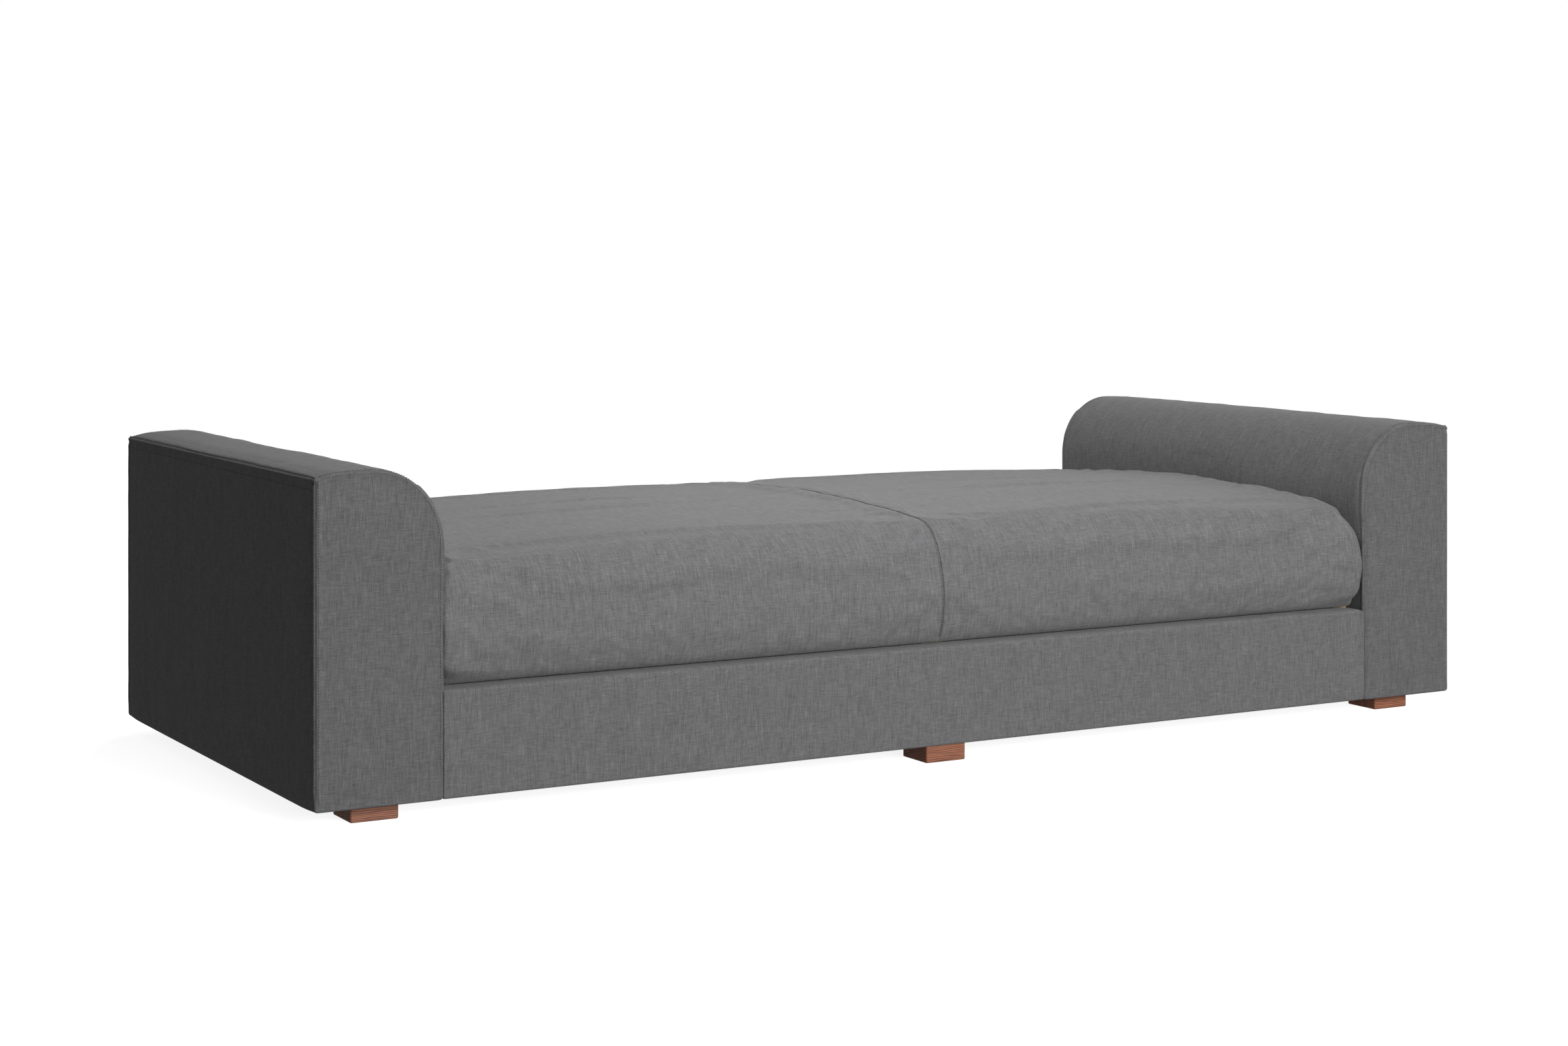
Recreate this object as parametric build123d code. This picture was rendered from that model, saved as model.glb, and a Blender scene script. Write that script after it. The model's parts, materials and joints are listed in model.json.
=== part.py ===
from build123d import *
import math
import os

# Futon sofa bed in its flat, bed position.  Millimetres.
# Origin: middle of the footprint, on the floor.  +X along the length, +Y to the back, +Z up.

# ---- driving dimensions ----
LENGTH = 2320.0
DEPTH = 1000.0
FOOT_HEIGHT = 30.0
ARM_WIDTH = 214.0
ARM_EDGE = 545.0            # height of the arm's outer top edge
ARM_CROWN = 12.0            # how much the arm's top rises above that edge
ROLL_RADIUS = 115.0         # inner shoulder of the arm
RAIL_TOP = 203.0            # top of the front and rear rails
DECK = 205.0                # what the seat and back units rest on
PAD_TOP = 430.0
PIVOT_Y = 70.0              # fold line between seat and back
PIVOT_Z = 375.0
UPRIGHT = 75.0              # degrees from flat to the sofa position

# ---- skins, boards and gaps ----
COVER = 6.0                 # arm cover: fabric and wadding
RAIL_COVER = 5.0
RAIL_THICK = 48.0
BOARD = 18.0
OUTER_PLY = 9.0
BOTTOM_BOARD = 24.0
INNER_TOP = 440.0           # top of the arm's frame; the foam starts here
OUTER_TOP = 520.0           # the outer panel runs up into the foam
LEDGER_W = 30.0
LEDGER_H = 40.0
BEAM_THICK = 44.0
CLOTH = 1.5
LIFT = 0.3                  # clearance between the back unit and the base
PAD_END_GAP = 4.0
SPLIT_GAP = 1.0             # half the gap between the two halves of the filling
FRAME_BAR = 30.0
FRAME_TOP = 237.0
SLAT_T = 8.0
SLAT_W = 53.0
SLATS = 14
WALL = 8.0                  # filling round the frames
FRONT_TUCK = 53.0           # how far the filling's bottom edge lies behind the rail's face
FRONT_POCKET = 96.0         # the hinge's room in the seat filling, forward of its axis
REAR_POCKET = 150.0         # the hinge's room in the back filling, behind its axis
FOLD_SLACK = 1.0            # degrees between the fold's filling and the halves beside it
FOLD_DROP = 8.0             # the fold's filling starts this far above the hinge axis
HEADROOM = 5.0              # cutting shapes stand this far above the filling

# The filling's bolster edge: distance behind the front face, and height.
LOWER_CURVE = (24.0, 232.0)
BULGE = (12.5, 290.0)
UPPER_CURVE = (25.0, 358.0)
SHOULDER = (66.0, 408.0)
TOP_CURVE = (120.0, 418.5)
TOP_START = (190.0, 423.5)
CROWN_CURVE = (345.0, 428.5)

# ---- hinge ----
PLATE = 4.0
PLATE_GAP = 0.4
RUN = 0.05                  # radial clearance of a running fit
PIN_R = 6.0
PIN_HEAD = (10.0, 3.0)      # radius and thickness
EYE_R = 34.0                # ratchet disc
POCKET_R = 50.0
POCKET_DEPTH = 22.0
PAWL_Y = -58.0              # pawl pivot, from the hinge axis
PAWL_Z = -48.0
PAWL_PIN_R = 3.0
RIVET_HEAD = (5.0, 2.0)
PAWL_HUB_R = 8.0
SPRING_T = 0.8
TOOTH = 6.0
NOTCH = 14.0
NOTCH_DEPTH = 9.0
STOPS = (0.0, UPRIGHT / 2, UPRIGHT)
BRACKET_CORNERS = ((0, 0), (-76, -26), (-80, -146), (-16, -146))
BRACKET_R = 14.0
BRACKET_SCREWS = ((-82, -22), (-80, -140), (-20, -140))
ARM_SCREWS = ((50, -150), (110, -150))
HINGE_ARM_END = 136.0       # the hinge arm's foot ends this far behind the axis

# ---- feet ----
FOOT_X = 80.0
FOOT_Y = 78.0
END_FOOT_IN_X = 73.0
END_FOOT_IN_Y = 39.0
MID_FOOT_IN_Y = 8.0
FOOT_EDGE = 1.5

HALF_L = LENGTH / 2
HALF_D = DEPTH / 2
INSIDE = HALF_L - ARM_WIDTH             # arm's inner face
PAD_END = INSIDE - PAD_END_GAP
ARM_TOP = ARM_EDGE + ARM_CROWN
RAIL_IN = HALF_D - RAIL_COVER - RAIL_THICK
SIDES = (("left", -1), ("right", 1))
ENDS = (("front", -1), ("rear", 1))


def block(x0, x1, y0, y1, z0, z1):
    """A box between two corners, given in any order."""
    size = (abs(x1 - x0), abs(y1 - y0), abs(z1 - z0))
    return Pos((x0 + x1) / 2, (y0 + y1) / 2, (z0 + z1) / 2) * Box(*size)


def rod(axis, x, y, z, radius, length):
    """A cylinder that starts at a point and runs along X or Z; a negative length runs back."""
    if axis == "x":
        return Pos(x + length / 2, y, z) * Rot(0, 90, 0) * Cylinder(radius, abs(length))
    return Pos(x, y, z + length / 2) * Cylinder(radius, abs(length))


def slab_x(outline, x0, thick):
    """A flat plate of an outline in Y and Z, from x0 along X."""
    face = Plane.YZ.offset(x0) * outline
    return extrude(face, thick, dir=(1, 0, 0))


# ---- arms ----
def arm_outline(inset):
    """The arm's section, X from its outer side, moved in by inset; it runs down past the floor side."""
    crown = ARM_WIDTH - ROLL_RADIUS
    top = ARM_TOP - inset
    edge = ARM_EDGE - inset
    inner = ARM_WIDTH - inset
    path = [
        Line((inset, FOOT_HEIGHT), (inset, edge)),
        ThreePointArc((inset, edge), (inset + crown * 0.45, top - ARM_CROWN * 0.3), (crown, top)),
        CenterArc((crown, ARM_TOP - ROLL_RADIUS), ROLL_RADIUS - inset, 0, 90),
        Line((inner, ARM_TOP - ROLL_RADIUS), (inner, FOOT_HEIGHT)),
        Line((inner, FOOT_HEIGHT), (inset, FOOT_HEIGHT)),
    ]
    return make_face(Wire(path))


def arm_body(inset, y_half):
    """The arm's section as a solid; placed at the left end."""
    face = Plane.XZ * arm_outline(inset)
    solid = extrude(face, y_half, both=True)
    return Pos(-HALF_L, 0, 0) * solid


def to_side(shape, side):
    """A left-hand shape, or its mirror image at the right."""
    return shape if side < 0 else mirror(shape, about=Plane.YZ)


def arm_x(depth):
    """X of a plane at a depth behind the left arm's outer face."""
    return -HALF_L + depth


def arm_cover():
    shell = arm_body(0, HALF_D) - arm_body(COVER, HALF_D - COVER)
    return shell - bracket_holes() - arm_bolt_holes()


def arm_foam():
    body = arm_body(COVER, HALF_D - COVER)
    below = block(-HALF_L, -INSIDE, -HALF_D, HALF_D, 0, INNER_TOP)
    return body - below - arm_outer_panel()


def arm_outer_panel():
    x0 = arm_x(COVER)
    y = HALF_D - COVER
    return block(x0, x0 + OUTER_PLY, -y, y, FOOT_HEIGHT, OUTER_TOP)


def arm_inner_panel():
    x1 = arm_x(ARM_WIDTH - COVER)
    y = HALF_D - COVER
    panel = block(x1 - BOARD, x1, -y, y, FOOT_HEIGHT, INNER_TOP)
    return panel - bracket_holes() - arm_bolt_holes()


def arm_between():
    """X of the space between the arm's two panels."""
    return arm_x(COVER + OUTER_PLY), arm_x(ARM_WIDTH - COVER - BOARD)


def arm_end_board(end):
    x0, x1 = arm_between()
    y = end * (HALF_D - COVER)
    return block(x0, x1, y, y - end * BOARD, FOOT_HEIGHT, INNER_TOP)


def arm_flat_board(z0, z1):
    x0, x1 = arm_between()
    y = HALF_D - COVER - BOARD
    return block(x0, x1, -y, y, z0, z1)


def arm_bottom_board():
    board = arm_flat_board(FOOT_HEIGHT, FOOT_HEIGHT + BOTTOM_BOARD)
    return board - foot_screw_holes()


# ---- base ----
def rail(end):
    y1 = HALF_D - RAIL_COVER
    z0 = FOOT_HEIGHT + RAIL_COVER
    z1 = RAIL_TOP - RAIL_COVER
    solid = block(-INSIDE, INSIDE, end * y1, end * RAIL_IN, z0, z1)
    holes = arm_bolt_holes()
    return solid - holes - mirror(holes, about=Plane.YZ) - foot_screw_holes()


def rail_cover(end):
    outer = block(-INSIDE, INSIDE, end * HALF_D, end * RAIL_IN, FOOT_HEIGHT, RAIL_TOP)
    edges = outer.edges().filter_by(Axis.X).filter_by(lambda e: abs(e.center().Y) > HALF_D - 1)
    outer = fillet(edges, RAIL_COVER - 1)
    z0 = FOOT_HEIGHT + RAIL_COVER
    z1 = RAIL_TOP - RAIL_COVER
    inner = block(-INSIDE, INSIDE, end * (HALF_D - RAIL_COVER), end * RAIL_IN, z0, z1)
    return outer - inner - foot_screw_holes()


def ledger():
    y = RAIL_IN
    return block(-INSIDE, -INSIDE + LEDGER_W, -y, y, DECK - LEDGER_H, DECK)


def centre_beam():
    x = BEAM_THICK / 2
    beam = block(-x, x, -RAIL_IN, RAIL_IN, FOOT_HEIGHT + CLOTH, DECK)
    return beam - foot_screw_holes()


def dust_cover():
    sheet = block(-INSIDE, INSIDE, -RAIL_IN, RAIL_IN, FOOT_HEIGHT, FOOT_HEIGHT + CLOTH)
    return sheet - foot_screw_holes()


# ---- seat and back units ----
def pad_section():
    """The filling's section in Y and Z: a bolster edge at the front and at the rear."""
    z0 = DECK + LIFT
    front = -HALF_D
    tuck = front + FRONT_TUCK

    def at(point):
        return front + point[0], point[1]

    path = [
        Line((0, z0), (tuck, z0)),
        ThreePointArc((tuck, z0), at(LOWER_CURVE), at(BULGE)),
        ThreePointArc(at(BULGE), at(UPPER_CURVE), at(SHOULDER)),
        ThreePointArc(at(SHOULDER), at(TOP_CURVE), at(TOP_START)),
        ThreePointArc(at(TOP_START), at(CROWN_CURVE), (0, PAD_TOP)),
        Line((0, PAD_TOP), (0, z0)),
    ]
    half = make_face(Wire(path))
    return half + mirror(half, about=Plane.YZ)


def pad_body():
    """The whole filling, seat and back, before it is split at the fold."""
    return extrude(Plane.YZ * pad_section(), PAD_END, both=True)


def fold_wedge(slack):
    """The valley above the hinge axis where the filling folds; its sides lean half the fold angle."""
    z1 = PAD_TOP + HEADROOM
    lean = math.tan(math.radians(UPRIGHT / 2 + slack))
    rise = z1 - PIVOT_Z
    w0 = SPLIT_GAP
    w1 = SPLIT_GAP + rise * lean
    points = [
        (PIVOT_Y - w0, PIVOT_Z),
        (PIVOT_Y + w0, PIVOT_Z),
        (PIVOT_Y + w1, z1),
        (PIVOT_Y - w1, z1),
    ]
    outline = make_face(Polyline(*points, close=True))
    return slab_x(outline, -INSIDE, 2 * INSIDE)


def hinge_pocket(front_box, rear_box):
    """Room at both ends of the filling for the hinge, a round pocket and a box each side of it."""
    x0 = -INSIDE
    depth = POCKET_DEPTH
    room = rod("x", x0, PIVOT_Y, PIVOT_Z, POCKET_R, depth)
    top = PIVOT_Z + POCKET_R - 8
    if front_box:
        room += block(x0, x0 + depth, PIVOT_Y - front_box, PIVOT_Y, DECK, top)
    if rear_box:
        room += block(x0, x0 + depth, PIVOT_Y, PIVOT_Y + rear_box, DECK, PIVOT_Z)
    room -= block(x0, x0 + depth, -HALF_D, HALF_D, top, top + POCKET_R)
    return room + mirror(room, about=Plane.YZ)


def frame_room(y0, y1):
    """The recess in the filling that the frame and its slats fill, open below."""
    x = PAD_END - WALL / 2
    return block(-x, x, y0, y1, DECK - 1, FRAME_TOP + SLAT_T + LIFT)


def seat_y():
    return -HALF_D + FRONT_TUCK + 2 * WALL, PIVOT_Y - SPLIT_GAP - WALL


def back_y():
    return PIVOT_Y + SPLIT_GAP + WALL, HALF_D - FRONT_TUCK - 2 * WALL


def seat_pad():
    keep = block(-HALF_L, HALF_L, -HALF_D, PIVOT_Y - SPLIT_GAP, 0, ARM_TOP)
    pad = (pad_body() & keep) - fold_wedge(FOLD_SLACK)
    return pad - hinge_pocket(FRONT_POCKET, 0) - frame_room(*seat_y())


def back_pad():
    keep = block(-HALF_L, HALF_L, PIVOT_Y + SPLIT_GAP, HALF_D, 0, ARM_TOP)
    pad = (pad_body() & keep) - fold_wedge(FOLD_SLACK)
    return pad - hinge_pocket(0, REAR_POCKET) - frame_room(*back_y())


def fold_filling():
    """The soft filling between the two halves, pressed together as the back rises."""
    wedge = pad_body() & fold_wedge(0.0)
    low = block(-HALF_L, HALF_L, -HALF_D, HALF_D, 0, PIVOT_Z + FOLD_DROP)
    return wedge - low - hinge_pocket(FRONT_POCKET, REAR_POCKET)


def frame_x():
    """Outer face of the frames' end bars, against the hinge arm."""
    return INSIDE - 2 * (PLATE + PLATE_GAP)


def cross_bar(y, z0):
    x = frame_x()
    return block(-x, x, y, y + FRAME_BAR, z0, FRAME_TOP)


def end_bar(y0, y1, z0):
    x = -frame_x()
    return block(x, x + FRAME_BAR, y0 + FRAME_BAR, y1 - FRAME_BAR, z0, FRAME_TOP)


def slats(y0, y1):
    """Sprung slats from the front bar to the rear bar of a frame, side by side along X."""
    pitch = 2 * frame_x() / SLATS
    rows = []
    for i in range(SLATS):
        x = -frame_x() + pitch * (i + 0.5)
        rows.append(block(x - SLAT_W / 2, x + SLAT_W / 2, y0, y1, FRAME_TOP, FRAME_TOP + SLAT_T))
    return Compound(children=rows)


def back_cloth():
    x = frame_x()
    y0, y1 = back_y()
    z0 = DECK + LIFT
    return block(-x, x, y0, y1, z0, z0 + 1)


# ---- hinges, drawn at the left end ----
def plate_x(layer):
    """Near face of the hinge plates, counted from the arm: the bracket, then the hinge arm."""
    return -INSIDE + layer * (PLATE + PLATE_GAP)


def at_axis(y, z):
    return PIVOT_Y + y, PIVOT_Z + z


def hull_plate(points, radius, x0):
    """A plate whose outline is the convex envelope of equal discs."""
    discs = [Pos(*at_axis(y, z)) * Circle(radius) for y, z in points]
    outline = make_hull([edge for disc in discs for edge in disc.edges()])
    return slab_x(outline, x0, PLATE)


def hinge_bracket():
    plate = hull_plate(BRACKET_CORNERS, BRACKET_R, plate_x(0))
    y, z = at_axis(0, 0)
    plate -= rod("x", plate_x(0), y, z, PIN_R + RUN, PLATE)
    y, z = at_axis(PAWL_Y, PAWL_Z)
    plate -= rod("x", plate_x(0), y, z, PAWL_PIN_R + RUN, PLATE)
    return plate - bracket_holes()


def ratchet_notches(x0):
    """Notches round the disc; each meets the pawl, at the disc's front, at one stop of the back."""
    cuts = None
    for stop in STOPS:
        angle = 180 - stop
        outline = Rot(0, 0, angle) * Pos(EYE_R, 0) * Rectangle(2 * NOTCH_DEPTH, NOTCH)
        cut = slab_x(Pos(*at_axis(0, 0)) * outline, x0, PLATE)
        cuts = cut if cuts is None else cuts + cut
    return cuts


def hinge_arm():
    x0 = plate_x(1)
    disc = slab_x(Pos(*at_axis(0, 0)) * Circle(EYE_R), x0, PLATE)
    disc -= ratchet_notches(x0)
    low = DECK + LIFT + 2 - PIVOT_Z
    high = FRAME_TOP - PIVOT_Z
    points = [(-16, 0), (-4, -20), (20, low), (HINGE_ARM_END, low), (HINGE_ARM_END, high)]
    points += [(60, high + 10), (26, -60), (20, 0)]
    outline = Polyline(*[at_axis(y, z) for y, z in points], close=True)
    leg = slab_x(make_face(outline), x0, PLATE)
    y, z = at_axis(0, 0)
    arm = disc + leg - rod("x", x0, y, z, PIN_R + RUN, PLATE)
    return arm - arm_screw_holes()


def rivet(y, z, radius, head_r, head_t):
    """A shouldered rivet through both plates with its head past the second one."""
    y, z = at_axis(y, z)
    x1 = plate_x(2)
    shank = rod("x", plate_x(0), y, z, radius, x1 - plate_x(0))
    return shank + rod("x", x1, y, z, head_r, head_t)


def pawl():
    """Lever from its rivet up to a tooth that points back at the ratchet disc."""
    x0 = plate_x(1)
    hub = slab_x(Pos(*at_axis(PAWL_Y, PAWL_Z)) * Circle(PAWL_HUB_R), x0, PLATE)
    tip = -EYE_R - 1
    half = TOOTH / 2
    heel = PAWL_Y - 6
    points = [(PAWL_Y + 7, PAWL_Z), (tip - 12, -half), (tip, -half), (tip, half)]
    points += [(tip - 16, half + 2), (heel, -22), (PAWL_Y - 7, PAWL_Z)]
    lever = make_face(Polyline(*[at_axis(*p) for p in points], close=True))
    body = hub + slab_x(lever, x0, PLATE)
    y, z = at_axis(PAWL_Y, PAWL_Z)
    return body - rod("x", x0, y, z, PAWL_PIN_R + RUN, PLATE)


def pawl_spring():
    """Leaf spring on the bracket that bears on the pawl's back."""
    x0 = plate_x(1)
    foot = at_axis(PAWL_Y - 24, PAWL_Z - 14)
    mid = at_axis(PAWL_Y - 20, PAWL_Z + 12)
    tip = at_axis(PAWL_Y - 7.6, PAWL_Z + 28)
    outer = ThreePointArc(foot, mid, tip)
    back = [(y - SPRING_T, z) for y, z in (foot, mid, tip)]
    inner = ThreePointArc(*back)
    outline = make_face([outer, Line(tip, back[2]), inner, Line(back[0], foot)])
    tab = block(plate_x(0) + PLATE, x0 + PLATE, foot[0] - 4, foot[0], foot[1] - 10, foot[1])
    return slab_x(outline, x0, PLATE) + tab


# ---- screws and their holes, drawn at the left end ----
SCREW_R = 2.5
SCREW_HEAD_R = 5.0
SCREW_HEAD_T = 2.5
SCREW_LENGTH = 22.0
BOLT_R = 4.0
BOLT_HEAD_R = 8.0
BOLT_HEAD_T = 5.5
BOLT_LENGTH = 75.0
FOOT_SCREW_R = 3.5
FOOT_HEAD_R = 7.0
FOOT_HEAD_T = 4.0
FOOT_SCREW_LENGTH = 58.0
FOOT_SCREW_Y = (-20, 20)    # from the foot's centre
HEAD_ROOM = 0.5             # round a sunk screw head
FOOT_SINK = 12.0
BOLT_IN = 29.0              # bolt centres, behind the rail's timber face
BOLT_HEIGHTS = (80.0, 155.0)
BOLT_PLACES = [(end * (HALF_D - RAIL_COVER - BOLT_IN), z) for end in (-1, 1) for z in BOLT_HEIGHTS]


def bracket_screws(clear):
    """Wood screws through the bracket and the cover into the arm's inner panel."""
    group = []
    for y, z in BRACKET_SCREWS:
        y, z = at_axis(y, z)
        x = plate_x(0) + PLATE
        screw = rod("x", x, y, z, SCREW_R + clear, -SCREW_LENGTH)
        if not clear:
            screw += rod("x", x, y, z, SCREW_HEAD_R, SCREW_HEAD_T)
        group.append(screw)
    return group


def arm_screws(clear):
    """Wood screws through the hinge arm into the back frame's end bar."""
    group = []
    for y, z in ARM_SCREWS:
        y, z = at_axis(y, z)
        x = plate_x(1)
        screw = rod("x", x, y, z, SCREW_R + clear, SCREW_LENGTH)
        if not clear:
            screw += rod("x", x, y, z, SCREW_HEAD_R, -SCREW_HEAD_T)
        group.append(screw)
    return group


def arm_bolts(clear):
    """Bolts from inside the arm, through its inner panel and cover, into the rails."""
    group = []
    for y, z in BOLT_PLACES:
        x = arm_x(ARM_WIDTH - COVER - BOARD)
        bolt = rod("x", x, y, z, BOLT_R + clear, BOLT_LENGTH)
        if not clear:
            bolt += rod("x", x, y, z, BOLT_HEAD_R, -BOLT_HEAD_T)
        group.append(bolt)
    return group


def foot_places():
    """Name and centre of each foot."""
    end_x = HALF_L - END_FOOT_IN_X - FOOT_X / 2
    end_y = HALF_D - END_FOOT_IN_Y - FOOT_Y / 2
    mid_y = HALF_D - MID_FOOT_IN_Y - FOOT_Y / 2
    places = {}
    for row, end in ENDS:
        places[row + "_left_foot"] = (-end_x, end * end_y)
        places[row + "_centre_foot"] = (0, end * mid_y)
        places[row + "_right_foot"] = (end_x, end * end_y)
    return places


def foot_screws(clear):
    """Two screws up through each foot."""
    group = []
    for x, y in foot_places().values():
        for dy in FOOT_SCREW_Y:
            screw = rod("z", x, y + dy, FOOT_SINK, FOOT_SCREW_R + clear, FOOT_SCREW_LENGTH)
            if not clear:
                screw += rod("z", x, y + dy, FOOT_SINK, FOOT_HEAD_R, -FOOT_HEAD_T)
            group.append(screw)
    return group


def joined(solids):
    total = solids[0]
    for solid in solids[1:]:
        total = total + solid
    return total


def bracket_holes():
    return joined(bracket_screws(RUN))


def arm_screw_holes():
    return joined(arm_screws(RUN))


def arm_bolt_holes():
    return joined(arm_bolts(RUN))


def foot_screw_holes():
    return joined(foot_screws(RUN))


def both_ends(group):
    """A left-hand group of fasteners and its mirror image, as separate solids."""
    return Compound(children=group + [mirror(solid, about=Plane.YZ) for solid in group])


def foot(x, y):
    body = Pos(x, y, FOOT_HEIGHT / 2) * Box(FOOT_X, FOOT_Y, FOOT_HEIGHT)
    body = chamfer(body.edges().filter_by(Axis.Z), FOOT_EDGE)
    body = chamfer(body.faces().sort_by(Axis.Z)[0].edges(), FOOT_EDGE)
    body -= foot_screw_holes()
    for dy in FOOT_SCREW_Y:
        body -= rod("z", x, y + dy, 0, FOOT_HEAD_R + HEAD_ROOM, FOOT_SINK)
    return body


# ---- the list of pieces ----
def arm_pieces(name, side):
    pieces = {
        "arm_cover": arm_cover(),
        "arm_foam": arm_foam(),
        "arm_outer_panel": arm_outer_panel(),
        "arm_inner_panel": arm_inner_panel(),
        "arm_front_board": arm_end_board(-1),
        "arm_rear_board": arm_end_board(1),
        "arm_top_board": arm_flat_board(INNER_TOP - BOARD, INNER_TOP),
        "arm_bottom_board": arm_bottom_board(),
        "ledger": ledger(),
    }
    return {name + "_" + key: to_side(shape, side) for key, shape in pieces.items()}


def hinge_pieces(name, side):
    pieces = {
        "hinge_bracket": hinge_bracket(),
        "hinge_arm": hinge_arm(),
        "hinge_pin": rivet(0, 0, PIN_R, *PIN_HEAD),
        "pawl": pawl(),
        "pawl_rivet": rivet(PAWL_Y, PAWL_Z, PAWL_PIN_R, *RIVET_HEAD),
        "pawl_spring": pawl_spring(),
    }
    return {name + "_" + key: to_side(shape, side) for key, shape in pieces.items()}


def base_pieces():
    return {
        "front_rail": rail(-1),
        "front_rail_cover": rail_cover(-1),
        "rear_rail": rail(1),
        "rear_rail_cover": rail_cover(1),
        "centre_beam": centre_beam(),
        "dust_cover": dust_cover(),
        "bracket_screws": both_ends(bracket_screws(0)),
        "arm_bolts": both_ends(arm_bolts(0)),
        "foot_screws": Compound(children=foot_screws(0)),
    }


def unit_pieces(name, span, z0):
    """A frame of four bars with its slats."""
    y0, y1 = span
    left = end_bar(y0, y1, z0)
    if name == "back":
        left -= arm_screw_holes()
    return {
        name + "_front_bar": cross_bar(y0, z0),
        name + "_rear_bar": cross_bar(y1 - FRAME_BAR, z0),
        name + "_left_bar": left,
        name + "_right_bar": mirror(left, about=Plane.YZ),
        name + "_slats": slats(y0, y1),
    }


def main():
    pieces = base_pieces()
    for name, side in SIDES:
        pieces.update(arm_pieces(name, side))
        pieces.update(hinge_pieces(name, side))
    pieces.update(unit_pieces("seat", seat_y(), DECK))
    pieces.update(unit_pieces("back", back_y(), DECK + LIFT + 1))
    pieces["back_cloth"] = back_cloth()
    pieces["hinge_arm_screws"] = both_ends(arm_screws(0))
    pieces["seat_pad"] = seat_pad()
    pieces["back_pad"] = back_pad()
    pieces["fold_filling"] = fold_filling()
    for name, (x, y) in foot_places().items():
        pieces[name] = foot(x, y)
    os.makedirs("parts", exist_ok=True)
    for name, shape in pieces.items():
        export_step(shape, "parts/" + name + ".step")
    print(len(pieces), "pieces")


main()
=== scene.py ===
import json
import math

import bmesh
import bpy
import numpy as np
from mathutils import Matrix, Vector
from mathutils.geometry import delaunay_2d_cdt


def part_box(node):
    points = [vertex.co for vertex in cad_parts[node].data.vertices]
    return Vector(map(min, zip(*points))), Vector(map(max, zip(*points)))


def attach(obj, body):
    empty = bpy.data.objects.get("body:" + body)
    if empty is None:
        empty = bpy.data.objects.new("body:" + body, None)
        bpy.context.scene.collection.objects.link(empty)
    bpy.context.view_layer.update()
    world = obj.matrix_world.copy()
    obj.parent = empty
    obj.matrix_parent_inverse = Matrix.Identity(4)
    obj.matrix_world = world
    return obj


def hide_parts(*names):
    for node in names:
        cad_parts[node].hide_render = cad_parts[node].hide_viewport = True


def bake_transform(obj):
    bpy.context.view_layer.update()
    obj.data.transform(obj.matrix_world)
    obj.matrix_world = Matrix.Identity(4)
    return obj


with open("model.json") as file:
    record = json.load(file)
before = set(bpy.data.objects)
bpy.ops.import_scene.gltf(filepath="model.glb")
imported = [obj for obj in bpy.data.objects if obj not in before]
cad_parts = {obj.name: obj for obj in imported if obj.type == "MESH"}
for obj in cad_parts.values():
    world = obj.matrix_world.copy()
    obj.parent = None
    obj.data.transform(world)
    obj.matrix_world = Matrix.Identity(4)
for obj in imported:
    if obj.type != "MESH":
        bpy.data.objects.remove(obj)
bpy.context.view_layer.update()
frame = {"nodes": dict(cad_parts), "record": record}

# The futon sofa bed's looks, in metres, in the frame of the CAD part:
# +X along the length, +Y to the back, +Z up, origin on the floor under the middle.

ARM_LOW, ARM_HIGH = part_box("left_arm_cover")
RAIL_LOW, RAIL_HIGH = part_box("front_rail_cover")
SEAT_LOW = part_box("seat_pad")[0]
ARM_FACE = -ARM_HIGH.x              # inner face of either arm, from the middle
ARM_WIDTH = ARM_HIGH.x - ARM_LOW.x

# ---- sizes of the upholstery ----
ARM_EDGE = ARM_HIGH.z - 0.0095      # the arm's outer top edge lies below its crown
ROLL = 0.116                        # the arm's inner shoulder: its width
ROLL_DROP = 0.124                   # and its height
SEAM_EDGE = 0.004                   # rounding of an upholstered edge along a seam
ARM_BULGE = 0.0062                  # the arm's inner face swells out by this
BULGE_HEIGHT = 0.412
BULGE_SPAN = 0.045
STITCH_OFF = 0.0051                 # a row of topstitching from its seam
PAD_SIDE_GAP = 0.0012               # between the pad's end and the arm


# ------------ noise
def lattice(ix, iy, iz, seed):
    """A fixed random number from -1 to 1 at each whole-number point."""
    h = ix * 73856093 ^ iy * 19349663 ^ iz * 83492791 ^ (seed + 11) * 40503
    h = (h ^ (h >> 13)) * 1274126177 & 0xFFFFFFFF
    h = (h ^ (h >> 16)) & 0xFFFF
    return h / 32767.5 - 1.0


def noise(points, seed=0):
    """Smooth noise from -1 to 1 at each row of an N by 3 array."""
    cell = np.floor(points).astype(np.int64)
    part = points - cell
    part = part * part * (3 - 2 * part)
    total = np.zeros(len(points))
    for dx in (0, 1):
        for dy in (0, 1):
            for dz in (0, 1):
                weight = (part[:, 0] if dx else 1 - part[:, 0])
                weight = weight * (part[:, 1] if dy else 1 - part[:, 1])
                weight = weight * (part[:, 2] if dz else 1 - part[:, 2])
                total += weight * lattice(cell[:, 0] + dx, cell[:, 1] + dy, cell[:, 2] + dz, seed)
    return total


def waves(a, b, long_a, long_b, seed, octaves=2):
    """Noise on a surface with coordinates a and b, whose folds are long_a by long_b metres."""
    total = np.zeros(len(a))
    size = 1.0
    for k in range(octaves):
        grid = np.stack([a / (long_a * size), b / (long_b * size), np.full(len(a), 7.3 * k)], 1)
        total += size * noise(grid, seed + k)
        size *= 0.5
    return total


def ramp(value, low, high):
    """0 below low, 1 above high, smooth between."""
    t = np.clip((value - low) / (high - low), 0, 1)
    return t * t * (3 - 2 * t)


def bell(value, width):
    return np.exp(-(value / width) ** 2)


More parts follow.
